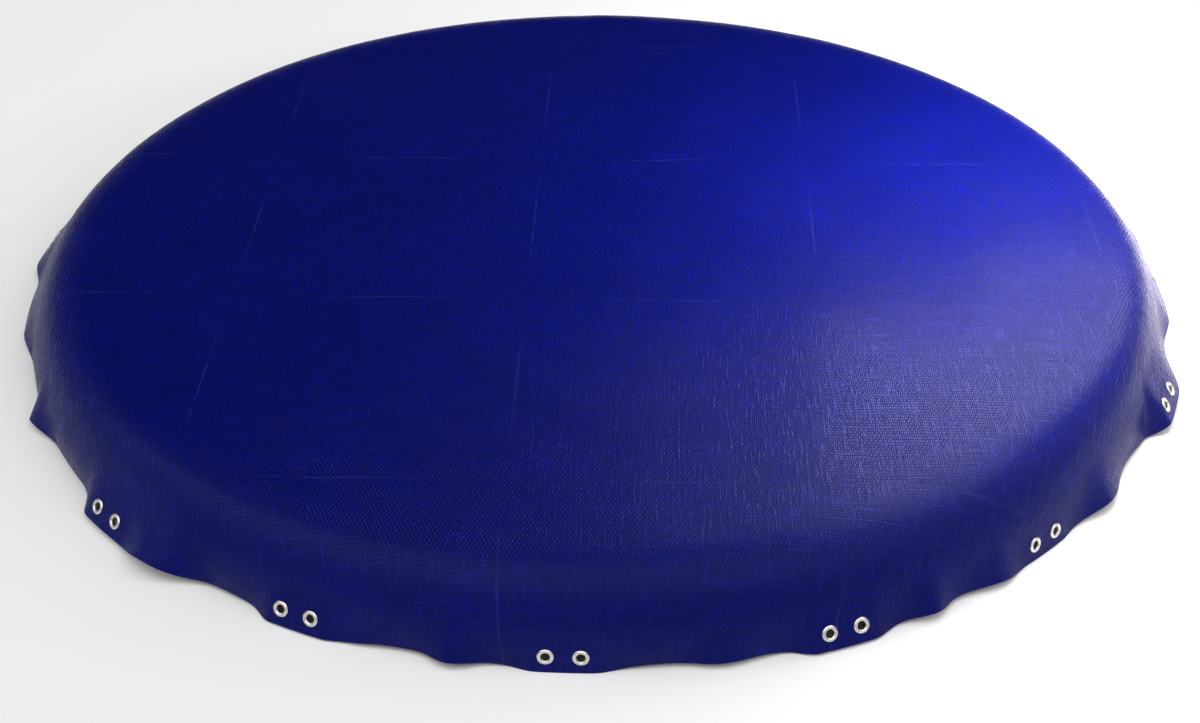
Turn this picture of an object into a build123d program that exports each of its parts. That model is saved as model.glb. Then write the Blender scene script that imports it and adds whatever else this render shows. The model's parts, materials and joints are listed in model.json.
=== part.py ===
from build123d import *
import os
from math import atan2, ceil, cos, degrees, pi, radians, sin, sqrt

# Round tarpaulin cover for a wooden spa tub, as it hangs on the tub.
# Millimetres, +Z up, front toward -Y. The origin is the centre of the flat top panel's underside,
# which rests on the rim of the tub. Angles run from the front toward +X.

# Driving dimensions
cut_radius = 1005.0          # radius of the flat cut at an eyelet pair, along the cloth
scallop_depth = 8.0          # the hem draws in by this much between the pairs
flat_radius = 810.0          # where the flat top ends and the shoulder begins
shoulder_radius = 107.0      # radius of the soft bend over the rim
cloth_thickness = 1.5        # the real cloth is about 0.6 mm
pair_spacing = 46.0          # between the two eyelets of a pair
hem_distance = 24.0          # eyelet centre to hem, along the cloth
eyelet_bore_radius = 6.0
flange_radius = 11.25
barrel_wall = 0.6
flange_height = 1.6
seat_allowance = 0.6         # the flat metal stands this far off the gently curved cloth
facing_width = 46.0          # doubled hem on the inside
facing_thickness = 1.0
facing_gap = 0.6             # between the cloth and its facing
facing_lengths = 5           # curved strips that make up the facing
strip_end_gap = 0.1          # degrees from a strip's end to the middle of the gap
washer_radius = 10.5
washer_thickness = 0.5
ring_count = 9               # curves that each skin is lofted through
curve_step = 1.6             # most degrees between points of a curve
steps_between = 4            # fewest steps from one knot of the hang to the next

# How the skirt hangs: angle round the cover and tilt of the skirt from vertical, both in degrees.
# The 15 eyelet pairs are set every 24 degrees of the cut and hang within a few degrees of that.
pairs = [
    (-170.6, 14), (-146.6, 34), (-122.0, 46), (-97.0, 40), (-72.2, 2),
    (-47.6, 31), (-25.4, 20), (-2.6, 8), (20.7, 23), (42.8, 12),
    (68.2, 38), (91.5, 32), (116.5, 38), (141.0, 21), (165.4, 15),
]
# Crests and troughs of the loose cloth between the pairs
folds = [
    (-162.0, 18), (-155.0, 42), (-134.5, 34), (-109.5, 43), (-90.0, 29),
    (-81.5, 28), (-66.2, 29), (-60.5, -2), (-55.0, -4),
    (-40.2, 45), (-33.5, -1), (-31.0, -3), (-20.5, 14), (-15.3, 0), (-11.8, 26),
    (-7.4, -2), (3.2, -4), (5.6, -4), (10.5, 19), (15.5, 5), (26.0, 11), (29.1, 28),
    (32.3, 9), (36.5, 25), (47.0, 9), (51.8, 30), (59.0, 4), (63.0, 12),
    (79.4, 20), (84.0, 32), (100.5, 40), (107.0, 42), (129.0, 10),
    (149.5, 3), (153.5, 11), (158.0, 3), (177.5, 3),
]
plateau_half_width = 2.4     # degrees of evenly tilted cloth each side of a pair
pairs_each = len(pairs) // facing_lengths


def hang():
    """Every place where the skirt's tilt is given, in order round the cover."""
    ends = [(angle + side, tilt) for angle, tilt in pairs
            for side in (-plateau_half_width, plateau_half_width)]
    return sorted(ends + folds)


knots = hang()


def pair_angle(pair):
    """Angle of a pair's middle, counted on past the last pair, degrees."""
    turns, place = divmod(pair, len(pairs))
    return pairs[place][0] + 360.0 * turns


def skirt_tilt(angle):
    """Tilt of the skirt from vertical at any angle, degrees: a soft wave from knot to knot."""
    angle = (angle - knots[0][0]) % 360.0 + knots[0][0]
    after = [*knots[1:], (knots[0][0] + 360.0, knots[0][1])]
    for (start, low), (end, high) in zip(knots, after):
        if angle <= end:
            return low + (high - low) * (0.5 - 0.5 * cos(pi * (angle - start) / (end - start)))


def curve_angles():
    """Angles of the points of a closed curve: every knot, and even steps between."""
    after = [*knots[1:], (knots[0][0] + 360.0, knots[0][1])]
    angles = []
    for (start, low), (end, high) in zip(knots, after):
        steps = max(steps_between, ceil((end - start) / curve_step))
        angles += [start + (end - start) * k / steps for k in range(steps)]
    return angles


def cut_edge(angle):
    """Distance from the centre to the hem, along the cloth."""
    near = min(abs((angle - pair + 180.0) % 360.0 - 180.0) for pair, tilt in pairs)
    share = min(max((near - plateau_half_width) / 5.6, 0.0), 1.0)
    return cut_radius - scallop_depth * (0.5 - 0.5 * cos(pi * share))


def turned(angle, distance):
    """How far the profile has turned down at a distance along the cloth, and its straight end."""
    turn = radians(90.0 - skirt_tilt(angle))
    past = max(distance - flat_radius, 0.0)
    arc = min(past, shoulder_radius * turn)
    return arc / shoulder_radius, past - arc


def cloth_point(angle, distance, depth=0.0):
    """Point on the cloth: distance along it from the centre, depth below its outer skin."""
    down, straight = turned(angle, distance)
    radius = min(distance, flat_radius) + shoulder_radius * sin(down) + straight * cos(down)
    drop = shoulder_radius * (1.0 - cos(down)) + straight * sin(down)
    radius -= depth * sin(down)
    height = cloth_thickness - drop - depth * cos(down)
    return Vector(radius * sin(radians(angle)), -radius * cos(radians(angle)), height)


def cloth_normal(angle, distance):
    """Outward direction of the cloth where its tilt is locally even."""
    down = turned(angle, distance)[0]
    outward = sin(down)
    return Vector(outward * sin(radians(angle)), -outward * cos(radians(angle)), cos(down))


def ring(share, depth):
    """Closed curve round the cover, at a share of the way from the flat top's edge to the hem."""
    points = []
    for angle in curve_angles():
        distance = flat_radius + (cut_edge(angle) - flat_radius) * share
        points.append(cloth_point(angle, distance, depth))
    return Wire([Edge.make_spline(points, periodic=True)])


def skin(depth):
    """Shoulder and skirt surface at one depth below the outer skin."""
    shares = [k / (ring_count - 1) for k in range(ring_count)]
    return Shell.make_loft([ring(share, depth) for share in shares])


def edge_at(shell, highest):
    """The upper or lower rim edge of a skin."""
    rims = shell.edges().filter_by(lambda edge: edge.is_closed).sort_by(Axis.Z)
    return rims[-1] if highest else rims[0]


def eyelet_places():
    """Every eyelet: number, centre on the outer skin, and axis shared by the pair."""
    places = []
    for pair in range(len(pairs)):
        middle = pair_angle(pair)
        distance = cut_radius - hem_distance
        radius = sqrt(cloth_point(middle, distance).X ** 2 + cloth_point(middle, distance).Y ** 2)
        half_angle = degrees(atan2(pair_spacing / 2.0, radius))
        for side in (-1.0, 1.0):
            centre = cloth_point(middle + side * half_angle, distance)
            places.append((pair, centre, cloth_normal(middle, distance)))
    return places


def eyelet_frame(centre, normal):
    """Location with +Z out of the cloth."""
    return Plane(origin=centre, z_dir=normal).location


def cover_sheet(places):
    """Top panel, shoulder and skirt in one closed solid, with a hole for each eyelet."""
    outer = skin(0.0)
    inner = skin(cloth_thickness)
    faces = [*outer.faces(), *inner.faces()]
    faces.append(Face(Wire([edge_at(outer, True)])))
    faces.append(Face(Wire([edge_at(inner, True)])))
    faces.append(Face.make_surface_from_curves(edge_at(outer, False), edge_at(inner, False)))
    sheet = Solid(Shell(faces))
    return sheet - eyelet_holes(places)


def eyelet_holes(places):
    """Slightly tapered holes, wider on the inside, that the barrels pass through."""
    barrel_radius = eyelet_bore_radius + barrel_wall
    punch = Cone(barrel_radius + 0.8, barrel_radius + 0.2, 12.0)
    return [eyelet_frame(centre, normal) * punch for pair, centre, normal in places]


def hem_facing(number, places):
    """One curved strip of the doubled hem, on the inside of the skirt."""
    first = pairs_each * number
    start = (pair_angle(first - 1) + pair_angle(first)) / 2.0 + strip_end_gap
    end = (pair_angle(first + pairs_each - 1) + pair_angle(first + pairs_each)) / 2.0
    every = [angle + turn for turn in (-360.0, 0.0, 360.0) for angle in curve_angles()]
    between = [angle for angle in every if start + 0.5 < angle < end - 0.5]
    top = cloth_thickness + facing_gap
    sections = []
    for angle in [start, *between, end - strip_end_gap]:
        near = cut_edge(angle) - facing_width
        far = cut_edge(angle) - 1.0
        corners = [
            cloth_point(angle, near, top),
            cloth_point(angle, far, top),
            cloth_point(angle, far, top + facing_thickness),
            cloth_point(angle, near, top + facing_thickness),
        ]
        sections.append(Wire.make_polygon(corners, close=True))
    return Solid.make_loft(sections) - eyelet_holes(places)


def eyelet():
    """Rounded flange outside, barrel through the cloth, lip rolled over the washer inside."""
    barrel_radius = eyelet_bore_radius + barrel_wall
    lip_radius = barrel_radius + 2.0
    lip_height = 1.0
    lip_level = washer_level() - washer_thickness
    crown = (eyelet_bore_radius + flange_radius) / 2.0
    curl = (eyelet_bore_radius + lip_radius) / 2.0
    with BuildPart() as body:
        with BuildSketch(Plane.XZ):
            with BuildLine():
                Line((eyelet_bore_radius, lip_level), (eyelet_bore_radius, seat_allowance))
                ThreePointArc(
                    (eyelet_bore_radius, seat_allowance),
                    (crown, seat_allowance + flange_height),
                    (flange_radius, seat_allowance),
                )
                Line((flange_radius, seat_allowance), (barrel_radius, seat_allowance))
                Line((barrel_radius, seat_allowance), (barrel_radius, lip_level))
                Line((barrel_radius, lip_level), (lip_radius, lip_level))
                ThreePointArc(
                    (lip_radius, lip_level),
                    (curl, lip_level - lip_height),
                    (eyelet_bore_radius, lip_level),
                )
            make_face()
        revolve(axis=Axis.Z)
    return body.part


def washer_level():
    """Height of the washer's cloth side, below the outer skin at the eyelet's centre."""
    return -(cloth_thickness + facing_gap + facing_thickness + seat_allowance)


def washer():
    """Flat ring with a slightly tapered hole, clamped between facing and lip."""
    hole = eyelet_bore_radius + barrel_wall + 0.05
    middle = washer_level() - washer_thickness / 2.0
    ring_body = Cylinder(washer_radius, washer_thickness)
    return Pos(0, 0, middle) * (ring_body - Cone(hole + 0.15, hole, washer_thickness))


def save(name, shape):
    """Write one node."""
    export_step(shape, f"parts/{name}.step")


os.makedirs("parts", exist_ok=True)
places = eyelet_places()
save("cover_sheet", cover_sheet(places))
for number in range(facing_lengths):
    own = [place for place in places if place[0] // pairs_each == number]
    save(f"hem_facing_{number + 1}", hem_facing(number, own))
for number, (pair, centre, normal) in enumerate(places, start=1):
    save(f"eyelet_{number:02d}", eyelet_frame(centre, normal) * eyelet())
for pair in range(len(pairs)):
    both = [place for place in places if place[0] == pair]
    rings = [eyelet_frame(centre, normal) * washer() for number, centre, normal in both]
    save(f"washer_pair_{pair + 1:02d}", Compound(children=rings))
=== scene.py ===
import json
from math import cos, pi, radians, sin

import bmesh
import bpy
import numpy as np
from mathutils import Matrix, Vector


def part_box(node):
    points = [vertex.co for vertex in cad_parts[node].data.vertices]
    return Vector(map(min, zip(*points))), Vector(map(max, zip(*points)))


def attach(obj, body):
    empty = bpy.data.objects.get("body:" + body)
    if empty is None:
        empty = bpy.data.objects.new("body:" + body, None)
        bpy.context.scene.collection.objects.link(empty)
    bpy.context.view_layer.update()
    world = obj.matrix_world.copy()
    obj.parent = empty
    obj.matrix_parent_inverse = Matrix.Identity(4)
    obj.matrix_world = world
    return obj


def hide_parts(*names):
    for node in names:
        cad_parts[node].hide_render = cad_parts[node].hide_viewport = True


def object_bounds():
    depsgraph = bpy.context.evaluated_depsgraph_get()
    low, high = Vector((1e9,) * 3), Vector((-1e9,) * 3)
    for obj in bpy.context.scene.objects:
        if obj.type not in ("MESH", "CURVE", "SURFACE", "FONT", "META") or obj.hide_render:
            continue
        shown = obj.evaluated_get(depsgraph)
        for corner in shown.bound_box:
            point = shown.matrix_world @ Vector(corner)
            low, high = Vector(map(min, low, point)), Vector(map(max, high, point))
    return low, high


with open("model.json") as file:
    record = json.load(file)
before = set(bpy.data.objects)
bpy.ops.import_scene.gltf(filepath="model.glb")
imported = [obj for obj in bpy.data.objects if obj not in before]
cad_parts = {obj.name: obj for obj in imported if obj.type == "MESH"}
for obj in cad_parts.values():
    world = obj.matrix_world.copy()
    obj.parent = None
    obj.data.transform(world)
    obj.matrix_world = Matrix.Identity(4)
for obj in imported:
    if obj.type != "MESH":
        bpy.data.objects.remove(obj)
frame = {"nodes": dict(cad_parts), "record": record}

# Round coated-cloth cover for a wooden spa tub, draped as it hangs on the tub. Metres, +Z up,
# front toward -Y. The cloth is made flat, as it was cut, and then bent over the rim point by point.

CAD_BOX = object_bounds()
RECORD = frame["record"]
MM = 0.001

# The cut and the drape, the same driving dimensions as the CAD model
CUT_RADIUS = 1.005
SCALLOP_DEPTH = 8 * MM
SCALLOP_EASE = 5.6           # degrees from the plain cut at a pair to the full depth
FLAT_RADIUS = 0.810
SHOULDER_RADIUS = 0.107
CAD_CLOTH_THICKNESS = 1.5 * MM
PLATEAU_HALF_WIDTH = 2.4     # degrees of evenly tilted cloth each side of an eyelet pair
SEAT_HEIGHT = 0.55 * MM
WASHER_DEPTH = 3.7 * MM
FACING_WIDTH = 46 * MM
FACING_LENGTHS = 5

# Crests and troughs of the loose cloth between the eyelet pairs: angle from the front and tilt
# of the skirt from vertical, degrees, as in the CAD model
FOLDS = [
    (-162.0, 18), (-155.0, 42), (-134.5, 34), (-109.5, 43), (-90.0, 29),
    (-81.5, 28), (-66.2, 29), (-60.5, -2), (-55.0, -4),
    (-40.2, 45), (-33.5, -1), (-31.0, -3), (-20.5, 14), (-15.3, 0), (-11.8, 26),
    (-7.4, -2), (3.2, -4), (5.6, -4), (10.5, 19), (15.5, 5), (26.0, 11), (29.1, 28),
    (32.3, 9), (36.5, 25), (47.0, 9), (51.8, 30), (59.0, 4), (63.0, 12),
    (79.4, 20), (84.0, 32), (100.5, 40), (107.0, 42), (129.0, 10),
    (149.5, 3), (153.5, 11), (158.0, 3), (177.5, 3),
]

# What only the looks have
CLOTH_THICKNESS = 0.8 * MM
FACING_THICKNESS = 0.8 * MM
HOLE_RADIUS = 7.9 * MM
PUNCH_RADIUS = 6.6 * MM      # faces whose middles are nearer than this are left out
SEAT_RADIUS = 22 * MM        # the cloth is pressed down this far round an eyelet
SEAT_EASE = 9 * MM
EYELET_REACH = 30 * MM
PAD_RADIUS = 19 * MM         # the facing is thicker this far round an eyelet, to meet its washer
PAD_EASE = 6 * MM
FOLD_PITCH = 0.458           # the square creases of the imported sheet
FOLD_TURN = radians(-1.6)
FOLD_CENTRE = (-0.109, -0.227)
CREASE_HEIGHT = 0.45 * MM
CREASE_WIDTH = 0.012
DENT_DEPTH = 3.0 * MM
DENT_WIDTH = 0.045
CROSS_DENT_WIDTH = 0.07
BROAD_RIPPLE = (1.4 * MM, 0.52)      # height and length
FINE_RIPPLE = (0.35 * MM, 0.17)
CALM_START = 0.78            # relief fades from here to the skirt
CALM_WIDTH = 0.15
RIM_PUSH = 5.0 * MM          # how far the tub's rim pushes the shoulder out beyond an even bend
RIM_WIDTH = 0.120
WARP_PITCH = 3.0 * MM
WEFT_PITCH = 6.5 * MM
GRID_CELL = FOLD_PITCH / 42
GRID_RADIUS = 0.765
COLUMNS = 900
SHOULDER_STEP = 7.5 * MM     # between rings of the mesh
HEM_STEP = 4 * MM
FINE_START = 0.940           # the rings are closer from here to the hem


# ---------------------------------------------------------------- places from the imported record

def eyelet_pairs():
    """Each pair's angle from the front, skirt tilt in degrees, axis and two centres."""
    pairs = []
    for mount in RECORD["mounts"]:
        if mount["kind"] != "bolt_pattern":
            continue
        axis = np.array(mount["axis"])
        middle = np.array(mount["pos_m"]) + axis * CAD_CLOTH_THICKNESS
        along = np.cross([0.0, 0.0, 1.0], axis)
        along /= np.linalg.norm(along)
        half = mount["dims"]["pcd_mm"] * MM / 2
        angle = np.degrees(np.arctan2(axis[0], -axis[1]))
        tilt = np.degrees(np.arcsin(axis[2]))
        pairs.append((angle, tilt, axis, (middle - along * half, middle + along * half)))
    return sorted(pairs, key=lambda pair: pair[0])


def hang():
    """Angles and tilts of every place where the skirt's tilt is given, in order, one turn."""
    ends = [(pair[0] + side, pair[1]) for pair in PAIRS
            for side in (-PLATEAU_HALF_WIDTH, PLATEAU_HALF_WIDTH)]
    knots = sorted(ends + FOLDS)
    knots.append((knots[0][0] + 360, knots[0][1]))
    return np.array(knots).T


PAIRS = eyelet_pairs()
PAIR_ANGLES = np.array([pair[0] for pair in PAIRS])
EYELETS = [(centre, pair[2]) for pair in PAIRS for centre in pair[3]]
KNOT_ANGLES, KNOT_TILTS = hang()


# ---------------------------------------------------------------- shape of the draped cloth

def smooth(x):
    """0 to 1 with soft ends."""
    x = np.clip(x, 0.0, 1.0)
    return x * x * (3.0 - 2.0 * x)


def skirt_tilt(angle):
    """Skirt tilt from vertical, degrees: a soft wave from knot to knot."""
    angle = (angle - KNOT_ANGLES[0]) % 360 + KNOT_ANGLES[0]
    k = np.clip(np.searchsorted(KNOT_ANGLES, angle, side="right") - 1, 0, len(KNOT_ANGLES) - 2)
    along = (angle - KNOT_ANGLES[k]) / (KNOT_ANGLES[k + 1] - KNOT_ANGLES[k])
    return KNOT_TILTS[k] + (KNOT_TILTS[k + 1] - KNOT_TILTS[k]) * (0.5 - 0.5 * np.cos(pi * along))


def cut_edge(angle):
    """Distance from the centre to the hem along the cloth, for angles in degrees."""
    off = np.abs((np.subtract.outer(angle, PAIR_ANGLES) + 180) % 360 - 180).min(axis=-1)
    share = np.clip((off - PLATEAU_HALF_WIDTH) / SCALLOP_EASE, 0.0, 1.0)
    return CUT_RADIUS - SCALLOP_DEPTH * (0.5 - 0.5 * np.cos(pi * share))


def bent(x, y):
    """The flat cut's point (x, y) after the cloth has turned down over the rim."""
    distance = np.hypot(x, y)
    angle = np.arctan2(x, -y)
    turn = np.radians(90.0 - skirt_tilt(np.degrees(angle)))
    past = np.maximum(distance - FLAT_RADIUS, 0.0)
    arc = np.minimum(past, SHOULDER_RADIUS * turn)
    straight = past - arc
    down = arc / SHOULDER_RADIUS
    radius = np.minimum(distance, FLAT_RADIUS)
    radius = radius + SHOULDER_RADIUS * np.sin(down) + straight * np.cos(down)
    drop = SHOULDER_RADIUS * (1 - np.cos(down)) + straight * np.sin(down)
    height = CAD_CLOTH_THICKNESS - drop
    return np.stack([radius * np.sin(angle), -radius * np.cos(angle), height], -1)


def fold_coordinates(x, y):
    """Position in the sheet's own fold grid, metres along its two fold directions."""
    x = x - FOLD_CENTRE[0]
    y = y - FOLD_CENTRE[1]
    return x * cos(FOLD_TURN) + y * sin(FOLD_TURN), -x * sin(FOLD_TURN) + y * cos(FOLD_TURN)


def ripple(x, y, length, seed):
    """Smooth uneven field between about -1 and 1, with features of the given length."""
    total = 0.0
    for k in range(5):
        way = seed * 1.7 + k * 2.39996
        pitch = length * (0.8 + 0.17 * k)
        total = total + np.sin(2 * pi * (x * cos(way) + y * sin(way)) / pitch + seed + 1.3 * k)
    return total / 3.0


def crease(across, along, seed):
    """Ridges and valleys left by the folds that run at whole pitches across."""
    line = np.round(across / FOLD_PITCH)
    off = across - line * FOLD_PITCH
    sign = np.where(line % 2 == 0, 1.0, -1.0)
    strength = 0.6 - 0.4 * np.cos(2 * pi * along / FOLD_PITCH)
    strength = strength + 0.2 * ripple(along, line, 0.5, seed)
    return sign * strength * np.exp(-np.abs(off) / CREASE_WIDTH)


def slant(across, along, width):
    """Uneven steps on the diagonals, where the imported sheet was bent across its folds."""
    pitch = FOLD_PITCH / 2 ** 0.5
    turn = across / pitch
    off = turn - np.round(turn)
    step = smooth(off * pitch / width + 0.5) - 0.5
    strength = 0.62 + 0.38 * np.cos(2 * pi * along / (2 * pitch))
    return strength * (step - off)


def rim_push(distance, angle):
    """Fuller shoulder over the rim of the tub, all round but for the middle of the back."""
    along = np.clip((distance - FLAT_RADIUS) / RIM_WIDTH, 0.0, 1.0)
    from_back = (angle % 360 - 180) / 30
    return RIM_PUSH * np.sin(pi * along) ** 2 * (1.0 - 0.8 * np.exp(-from_back ** 2))


def relief(x, y):
    """How far the cloth stands above its even surface."""
    gx, gy = fold_coordinates(x, y)
    rising = (gx + gy - FOLD_PITCH / 2) / 2 ** 0.5
    falling = (gx - gy) / 2 ** 0.5
    height = CREASE_HEIGHT * (crease(gx, gy, 1.0) + crease(gy, gx, 2.0))
    dents = slant(rising, falling, DENT_WIDTH)
    dents = dents + 0.3 * slant(falling - FOLD_PITCH / 8 ** 0.5, rising, CROSS_DENT_WIDTH)
    height = height + DENT_DEPTH * dents * smooth((0.72 - x + y) / 0.30)
    for seed, (rise, length) in enumerate((BROAD_RIPPLE, FINE_RIPPLE), start=3):
        height = height + rise * ripple(x, y, length, float(seed))
    distance = np.hypot(x, y)
    height = height * (1.0 - 0.85 * smooth((distance - CALM_START) / CALM_WIDTH))
    return height + rim_push(distance, np.degrees(np.arctan2(x, -y)))


def seated(points):
    """Cloth pressed flat against the eyelet flanges."""
    for centre, axis in EYELETS:
        away = points - centre
        height = away @ axis
        reach = np.linalg.norm(away - height[:, None] * axis, axis=1)
        near = np.linalg.norm(away, axis=1) < EYELET_REACH
        share = smooth((SEAT_RADIUS - reach) / SEAT_EASE) * near
        points = points + (share * (SEAT_HEIGHT - height))[:, None] * axis
    return points


def draped(x, y):
    """Outer skin of the cloth for points of the flat cut."""
    base = bent(x, y)
    step = 1.0 * MM
    across = bent(x + step, y) - bent(x - step, y)
    along = bent(x, y + step) - bent(x, y - step)
    normal = np.cross(across, along)
    normal /= np.linalg.norm(normal, axis=1)[:, None]
    return seated(base + normal * relief(x, y)[:, None])


def draped_normals(x, y):
    """Outward normals of the outer skin."""
    step = 1.5 * MM
    across = draped(x + step, y) - draped(x - step, y)
    along = draped(x, y + step) - draped(x, y - step)
    normal = np.cross(across, along)
    return normal / np.linalg.norm(normal, axis=1)[:, None]


# ---------------------------------------------------------------- flat patterns

def ring_distances(start, end, step):
    """Evenly spaced distances from start to end."""
    count = int(round((end - start) / step))
    return [start + (end - start) * k / count for k in range(count + 1)]


def cover_pattern():
    """The round cut, flat: squares along the fold grid inside, rings of quads outside."""
    bm = bmesh.new()
    reach = int(1.2 / GRID_CELL)
    corners = {}
    for i in range(-reach, reach + 1):
        for j in range(-reach, reach + 1):
            gx = i * GRID_CELL
            gy = j * GRID_CELL
            x = FOLD_CENTRE[0] + gx * cos(FOLD_TURN) - gy * sin(FOLD_TURN)
            y = FOLD_CENTRE[1] + gx * sin(FOLD_TURN) + gy * cos(FOLD_TURN)
            if x * x + y * y < GRID_RADIUS ** 2:
                corners[i, j] = bm.verts.new((x, y, 0))
    for (i, j), corner in corners.items():
        others = [corners.get(place) for place in ((i + 1, j), (i + 1, j + 1), (i, j + 1))]
        if all(others):
            bm.faces.new([corner, *others])
    for vert in [v for v in bm.verts if not v.link_faces]:
        bm.verts.remove(vert)
    rings = ring_distances(GRID_RADIUS + GRID_CELL, FINE_START, SHOULDER_STEP)
    rings += ring_distances(FINE_START, CUT_RADIUS, HEM_STEP)[1:]
    turns = [2 * pi * k / COLUMNS for k in range(COLUMNS)]
    edges = cut_edge(np.degrees(turns))
    rows = []
    for ring in rings:
        share = max(ring - FINE_START, 0.0) / (CUT_RADIUS - FINE_START)
        reach = [ring + share * (edge - CUT_RADIUS) for edge in edges]
        rows.append([bm.verts.new((d * sin(a), -d * cos(a), 0)) for d, a in zip(reach, turns)])
    for inner, outer in zip(rows, rows[1:]):
        for k in range(COLUMNS):
            n = (k + 1) % COLUMNS
            bm.faces.new([inner[k], outer[k], outer[n], inner[n]])
    hem = set(rows[-1])
    rim = [e for e in bm.edges if len(e.link_faces) == 1 and e.verts[0] not in hem]
    bmesh.ops.triangle_fill(bm, use_beauty=True, edges=rim)
    return pattern_arrays(bm)


def facing_pattern(first_angle, last_angle):
    """One curved strip of the doubled hem, flat."""
    bm = bmesh.new()
    columns = int((last_angle - first_angle) / 360 * COLUMNS)
    turns = [
        radians(first_angle + (last_angle - first_angle) * k / columns)
        for k in range(columns + 1)
    ]
    edges = cut_edge(np.degrees(turns))
    rows = []
    for inset in ring_distances(FACING_WIDTH, 1 * MM, -HEM_STEP):
        reach = edges - inset
        rows.append([bm.verts.new((d * sin(a), -d * cos(a), 0)) for d, a in zip(reach, turns)])
    for inner, outer in zip(rows, rows[1:]):
        for k in range(columns):
            bm.faces.new([inner[k], outer[k], outer[k + 1], inner[k + 1]])
    return pattern_arrays(bm)


def pattern_arrays(bm):
    """Points and upward-facing faces of a flat pattern."""
    bm.verts.index_update()
    points = np.array([v.co[:2] for v in bm.verts])
    faces = []
    for face in bm.faces:
        ring = [v.index for v in face.verts]
        faces.append(ring if face.normal.z > 0 or face_turn(points[ring]) > 0 else ring[::-1])
    bm.free()
    return points, faces


def face_turn(ring):
    """Signed area of a flat face."""
    x, y = ring[:, 0], ring[:, 1]
    return float(np.sum(x * np.roll(y, -1) - np.roll(x, -1) * y))


# ---------------------------------------------------------------- meshes

def punched(points, faces):
    """Faces with the eyelet holes left out, and for each hole its rim's vertices."""
    skin = draped(points[:, 0], points[:, 1])
    middles = np.array([skin[ring].mean(axis=0) for ring in faces])
    keep = np.ones(len(faces), bool)
    rims = []
    for centre, axis in EYELETS:
        hit = np.linalg.norm(middles - centre, axis=1) < PUNCH_RADIUS
        if hit.any():
            keep &= ~hit
            inside = set(i for k in np.nonzero(hit)[0] for i in faces[k])
            rims.append((centre, axis, inside))
    kept = [ring for ring, wanted in zip(faces, keep) if wanted]
    used = set(i for ring in kept for i in ring)
    return kept, [(centre, axis, sorted(inside & used)) for centre, axis, inside in rims]


def rounded(skin, rims):
    """Hole rims moved onto a circle round the eyelet."""
    for centre, axis, rim in rims:
        away = skin[rim] - centre
        height = (away @ axis)[:, None] * axis
        flat = away - height
        flat *= HOLE_RADIUS / np.linalg.norm(flat, axis=1)[:, None]
        skin[rim] = centre + height + flat


def cloth_piece(name, pattern, top_depth, thickness, thicker_at_eyelets=0.0):
    """Closed sheet of cloth from a flat pattern, with its fold coordinates as UVs."""
    points, faces = pattern
    faces, rims = punched(points, faces)
    used = sorted(set(i for ring in faces for i in ring))
    place = {old: new for new, old in enumerate(used)}
    faces = [[place[i] for i in ring] for ring in faces]
    rims = [(centre, axis, [place[i] for i in rim]) for centre, axis, rim in rims]
    x, y = points[used].T
    skin = draped(x, y)
    normal = draped_normals(x, y)
    depth = np.full(len(x), top_depth + thickness)
    for centre, axis in EYELETS:
        near = np.linalg.norm(skin - centre, axis=1)
        depth = depth + thicker_at_eyelets * smooth((PAD_RADIUS - near) / PAD_EASE)
    top = skin - normal * top_depth
    under = skin - normal * depth[:, None]
    rounded(top, rims)
    rounded(under, rims)
    count = len(used)
    sides = {}
    for ring in faces:
        for a, b in zip(ring, ring[1:] + ring[:1]):
            if (b, a) in sides:
                del sides[b, a]
            else:
                sides[a, b] = True
    every = [*faces, *[[i + count for i in reversed(ring)] for ring in faces]]
    every += [[b, a, a + count, b + count] for a, b in sides]
    mesh = bpy.data.meshes.new(name)
    mesh.from_pydata(np.concatenate([top, under]).tolist(), [], every)
    gx, gy = fold_coordinates(x, y)
    flat = np.stack([np.tile(gx, 2), np.tile(gy, 2)], -1)
    corners = np.empty(len(mesh.loops), np.int32)
    mesh.loops.foreach_get("vertex_index", corners)
    layer = mesh.uv_layers.new(name="fold_grid")
    layer.data.foreach_set("uv", flat[corners].ravel())
    mesh.polygons.foreach_set("use_smooth", np.ones(len(mesh.polygons), bool))
    mesh.set_sharp_from_angle(angle=radians(50))
    mesh.validate()
    piece = bpy.data.objects.new(name, mesh)
    bpy.context.scene.collection.objects.link(piece)
    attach(piece, "root")
    return piece


def facing_spans():
    """First and last angle of each facing strip, from the CAD model's pairs."""
    each = len(PAIRS) // FACING_LENGTHS
    names = sorted(n for n in frame["nodes"] if n.startswith("hem_facing"))
    order = []
    for name in names:
        low, high = (np.array(c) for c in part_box(name))
        middle = (low + high) / 2
        order.append((name, np.degrees(np.arctan2(middle[0], -middle[1]))))
    spans = []
    for name, middle in order:
        off = (PAIR_ANGLES - middle + 180) % 360 - 180
        nearest = np.argsort(np.abs(off))[:each]
        first = nearest[np.argmin(off[nearest])]
        last = nearest[np.argmax(off[nearest])]
        before = (PAIR_ANGLES[first] - PAIR_ANGLES[first - 1]) % 360
        after = (PAIR_ANGLES[(last + 1) % len(PAIRS)] - PAIR_ANGLES[last]) % 360
        start = PAIR_ANGLES[first] - before / 2 + 0.1
        width = (PAIR_ANGLES[last] - PAIR_ANGLES[first]) % 360 + before / 2 + after / 2 - 0.2
        spans.append((name, start, start + width))
    return spans


# ---------------------------------------------------------------- materials

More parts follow.
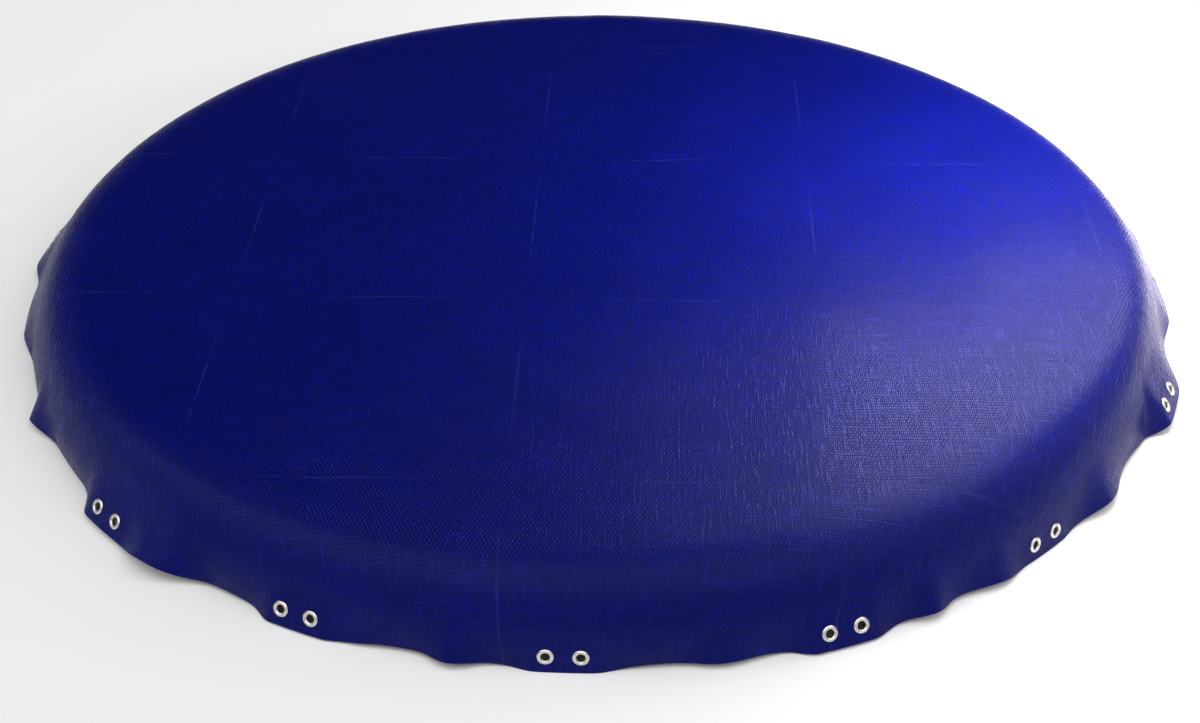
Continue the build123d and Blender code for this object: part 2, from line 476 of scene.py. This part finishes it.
class Nodes:
    """Short way to build a node material."""

    def __init__(self, name):
        self.material = bpy.data.materials.new(name)
        self.material.use_nodes = True
        self.tree = self.material.node_tree
        self.shader = self.tree.nodes["Principled BSDF"]

    def add(self, kind, **settings):
        node = self.tree.nodes.new(kind)
        for key, value in settings.items():
            setattr(node, key, value)
        return node

    def put(self, value, socket):
        if isinstance(value, bpy.types.NodeSocket):
            self.tree.links.new(value, socket)
        else:
            socket.default_value = value

    def math(self, operation, a, b=0.0, c=0.0):
        node = self.add("ShaderNodeMath", operation=operation)
        for value, socket in zip((a, b, c), node.inputs):
            self.put(value, socket)
        return node.outputs[0]

    def mix(self, share, a, b):
        node = self.add("ShaderNodeMix", data_type="RGBA")
        self.put(share, node.inputs["Factor"])
        self.put(a, node.inputs["A"])
        self.put(b, node.inputs["B"])
        return node.outputs["Result"]

    def remap(self, value, low, high, to_low=0.0, to_high=1.0):
        node = self.add("ShaderNodeMapRange", interpolation_type="SMOOTHSTEP")
        for v, name in zip((value, low, high, to_low, to_high),
                           ("Value", "From Min", "From Max", "To Min", "To Max")):
            self.put(v, node.inputs[name])
        return node.outputs[0]

    def noise(self, vector, scale, detail=2.0, roughness=0.5):
        node = self.add("ShaderNodeTexNoise")
        self.put(vector, node.inputs["Vector"])
        node.inputs["Scale"].default_value = scale
        node.inputs["Detail"].default_value = detail
        node.inputs["Roughness"].default_value = roughness
        return node.outputs["Fac"]

    def vector(self, x, y, z=0.0):
        node = self.add("ShaderNodeCombineXYZ")
        for value, socket in zip((x, y, z), node.inputs):
            self.put(value, socket)
        return node.outputs[0]

    def bump(self, height, distance, strength=1.0, normal=None):
        node = self.add("ShaderNodeBump")
        node.inputs["Distance"].default_value = distance
        node.inputs["Strength"].default_value = strength
        self.put(height, node.inputs["Height"])
        if normal is not None:
            self.put(normal, node.inputs["Normal"])
        return node.outputs[0]


def cloth_material(name, deep, light, roughness):
    """Coated woven cloth: thick uneven threads and slubs, coloured lighter on raised threads as
    painted highlight, and a painted highlight along the fold lines.
    """
    n = Nodes(name)
    uv = n.add("ShaderNodeUVMap", uv_map="fold_grid")
    split = n.add("ShaderNodeSeparateXYZ")
    n.put(uv.outputs[0], split.inputs[0])
    x, y = split.outputs[0], split.outputs[1]
    wander = n.math("SUBTRACT", n.noise(n.vector(x, y), 9.0), 0.5)
    u = n.math("ADD", n.math("DIVIDE", x, WARP_PITCH), n.math("MULTIPLY", wander, 2.5))
    v = n.math("ADD", n.math("DIVIDE", y, WEFT_PITCH), n.math("MULTIPLY", wander, -1.2))
    wave_u = n.math("SINE", n.math("MULTIPLY", u, pi))
    wave_v = n.math("SINE", n.math("MULTIPLY", v, pi))
    over = n.remap(n.math("MULTIPLY", wave_u, wave_v), -0.20, 0.20)
    warp = n.remap(n.math("ABSOLUTE", wave_u), 0.0, 0.75)
    weft = n.remap(n.math("ABSOLUTE", wave_v), 0.0, 0.75)
    under = n.math("SUBTRACT", 1.0, over)
    level = n.math("ADD", n.math("MULTIPLY", warp, over),
                   n.math("MULTIPLY", n.math("MULTIPLY", weft, 0.35), under))
    warp_slub = n.noise(n.vector(x, n.math("MULTIPLY", y, 0.08)), 250.0, 1.0)
    weft_slub = n.noise(n.vector(n.math("MULTIPLY", x, 0.08), y), 150.0, 1.0)
    warp_mark = n.remap(warp_slub, 0.50, 0.66)
    weft_mark = n.remap(weft_slub, 0.52, 0.68)
    slub = n.math("MAXIMUM", warp_mark, n.math("MULTIPLY", weft_mark, 0.8))
    cloudy = n.noise(n.vector(x, y), 5.0, 3.0)
    # Painted highlight: raised threads and slubs are coloured lighter, where they would catch the
    # light; the cloudy noise adds random tone.
    shine_and_tone = n.math("ADD", n.math("MULTIPLY", slub, 0.34), n.math("MULTIPLY", level, 0.50))
    shine_and_tone = n.math("MULTIPLY", shine_and_tone, n.remap(cloudy, 0.3, 0.7, 0.8, 1.1))
    colour = n.mix(shine_and_tone, (*deep, 1), (*light, 1))
    # Painted highlight: the fold lines are mixed toward a lighter blue, where the creases would
    # catch the light.
    highlight_x = fold_highlight(n, x, y)
    highlight_y = fold_highlight(n, y, x)
    line = n.math("MAXIMUM", highlight_x, highlight_y)
    colour = n.mix(n.math("MULTIPLY", line, 0.17), colour, (0.05, 0.06, 0.35, 1))
    n.put(colour, n.shader.inputs["Base Color"])
    raised = n.math("ADD", level, n.math("MULTIPLY", slub, 0.5))
    rough = n.remap(raised, 0.0, 1.0, roughness + 0.30, roughness)
    n.put(rough, n.shader.inputs["Roughness"])
    height = n.math("ADD", level, n.math("MULTIPLY", slub, 0.35))
    n.put(n.bump(height, 0.55 * MM), n.shader.inputs["Normal"])
    n.shader.inputs["Specular IOR Level"].default_value = 0.09
    return n.material


def fold_highlight(n, across, along):
    """Painted highlight: thin lighter line along each fold crease, clearest half way between the
    crossings.
    """
    turn = n.math("DIVIDE", across, FOLD_PITCH)
    off = n.math("ABSOLUTE", n.math("SUBTRACT", turn, n.math("ROUND", turn)))
    off = n.math("MULTIPLY", off, FOLD_PITCH)
    line = n.remap(off, 0.3 * MM, 2.4 * MM, 1.0, 0.0)
    middle = n.math("COSINE", n.math("MULTIPLY", along, 2 * pi / FOLD_PITCH))
    uneven = n.noise(n.vector(turn, n.math("MULTIPLY", along, 26.0)), 1.0, 3.0)
    clear = n.math("SUBTRACT", n.math("MULTIPLY", uneven, 1.6), n.math("MULTIPLY", middle, 0.35))
    return n.math("MULTIPLY", line, n.remap(clear, 0.75, 1.25, 0.06, 1.0))


def eyelet_material():
    """Semi-matt plated metal, a little uneven and dulled."""
    n = Nodes("eyelet_plating")
    place = n.add("ShaderNodeTexCoord").outputs["Object"]
    dull = n.noise(place, 900.0, 3.0)
    colour = n.mix(n.remap(dull, 0.35, 0.75), (0.80, 0.78, 0.72, 1), (0.60, 0.58, 0.53, 1))
    n.put(colour, n.shader.inputs["Base Color"])
    n.shader.inputs["Metallic"].default_value = 1.0
    n.put(n.remap(dull, 0.3, 0.8, 0.28, 0.5), n.shader.inputs["Roughness"])
    n.put(n.bump(n.noise(place, 1600.0, 2.0), 0.05 * MM), n.shader.inputs["Normal"])
    return n.material


def floor_material():
    n = Nodes("pale_floor")
    place = n.add("ShaderNodeTexCoord").outputs["Object"]
    n.put(n.mix(n.noise(place, 2.0), (0.91, 0.91, 0.91, 1), (0.89, 0.89, 0.89, 1)),
          n.shader.inputs["Base Color"])
    n.shader.inputs["Roughness"].default_value = 0.7
    return n.material


# ---------------------------------------------------------------- the object

def wear(piece, material):
    """Give a piece one material."""
    piece.data.materials.clear()
    piece.data.materials.append(material)


def make_cover():
    """The cloth, its facing strips and the metal."""
    cover_cloth = cloth_material(
        "cover_cloth", (0.0004, 0.0020, 0.066), (0.0024, 0.0062, 0.185), 0.24,
    )
    under_cloth = cloth_material(
        "facing_cloth", (0.0012, 0.0030, 0.075), (0.0060, 0.0085, 0.130), 0.42,
    )
    cover = cloth_piece("cover_cloth", cover_pattern(), 0.0, CLOTH_THICKNESS)
    wear(cover, cover_cloth)
    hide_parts("cover_sheet")
    gap = 0.1 * MM
    bulge = WASHER_DEPTH + SEAT_HEIGHT - CLOTH_THICKNESS - gap - FACING_THICKNESS
    for name, first_angle, last_angle in facing_spans():
        pattern = facing_pattern(first_angle, last_angle)
        strip = cloth_piece(
            name.replace("hem_facing", "facing_strip"), pattern,
            CLOTH_THICKNESS + gap, FACING_THICKNESS, bulge,
        )
        wear(strip, under_cloth)
        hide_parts(name)
    plating = eyelet_material()
    metal = [o for name, o in frame["nodes"].items() if name.startswith(("eyelet", "washer"))]
    for node in metal:
        wear(node, plating)


# ---------------------------------------------------------------- stage, light and camera

BOX_HEIGHT = 0.44            # of the soft boxes above the cover

def area_light(name, place, target, size, power, colour=(1, 1, 1)):
    """Rectangular soft box."""
    lamp = bpy.data.lights.new(name, "AREA")
    lamp.shape = "RECTANGLE"
    lamp.size, lamp.size_y = size
    lamp.energy = power
    lamp.color = colour
    box = bpy.data.objects.new(name, lamp)
    box.location = place
    box.rotation_euler = (Vector(target) - Vector(place)).to_track_quat("-Z", "Y").to_euler()
    bpy.context.scene.collection.objects.link(box)
    return box


def make_stage():
    """Plain pale floor under the hem, soft light."""
    low = CAD_BOX[0][2]
    bpy.ops.mesh.primitive_plane_add(size=40, location=(0, 0, low))
    floor = bpy.context.object
    floor.name = "floor"
    wear(floor, floor_material())
    bpy.context.scene.world = soft_room()
    for name, place, size, power in (
        ("left_box", (0.25, -0.10), (0.35, 0.70), 0.9),
        ("front_box", (0.65, -0.40), (0.45, 0.45), 3.4),
        ("middle_box", (0.60, 0.14), (0.35, 0.45), 6.4),
        ("right_box", (0.95, 0.26), (0.37, 0.70), 8.4),
        ("far_box", (1.30, 0.45), (0.35, 0.35), 5.0),
    ):
        box = area_light(name, (*place, BOX_HEIGHT), (*place, 0), size, power, (1.0, 0.92, 0.98))
        box.visible_camera = False


def soft_room():
    """Even light from above, dim behind the cover where its top mirrors the room."""
    world = bpy.data.worlds.new("soft_room")
    world.use_nodes = True
    nodes, links = world.node_tree.nodes, world.node_tree.links
    way = nodes.new("ShaderNodeTexCoord")
    shares = []
    for axis, low, high in (((0.0, -0.85, -0.53), -0.80, -0.45), ((0.0, 0.0, 1.0), 0.15, 0.75)):
        dot = nodes.new("ShaderNodeVectorMath")
        dot.operation = "DOT_PRODUCT"
        dot.inputs[1].default_value = axis
        share = nodes.new("ShaderNodeMapRange")
        share.interpolation_type = "SMOOTHSTEP"
        share.inputs["From Min"].default_value = low
        share.inputs["From Max"].default_value = high
        links.new(way.outputs["Generated"], dot.inputs[0])
        links.new(dot.outputs["Value"], share.inputs["Value"])
        shares.append(share.outputs[0])
    both = nodes.new("ShaderNodeMath")
    both.operation = "MULTIPLY"
    links.new(shares[0], both.inputs[0])
    links.new(shares[1], both.inputs[1])
    strength = nodes.new("ShaderNodeMapRange")
    strength.inputs["To Min"].default_value = 0.03
    strength.inputs["To Max"].default_value = 1.8
    links.new(both.outputs[0], strength.inputs["Value"])
    links.new(strength.outputs[0], nodes["Background"].inputs["Strength"])
    nodes["Background"].inputs["Color"].default_value = (1.0, 1.0, 1.0, 1)
    return world


def make_camera():
    """Camera in front of the cover, looking down on it."""
    camera = bpy.data.cameras.new("camera")
    camera.lens = 58.4
    camera.sensor_width = 36.0
    view = bpy.data.objects.new("camera", camera)
    view.location = (0.006, -2.7786, 1.6102)
    view.rotation_euler = (radians(90 - 34.07), 0, 0)
    bpy.context.scene.collection.objects.link(view)
    bpy.context.scene.camera = view
    bpy.context.scene.view_settings.view_transform = "Standard"


make_camera()
make_cover()
make_stage()

bpy.context.view_layer.update()
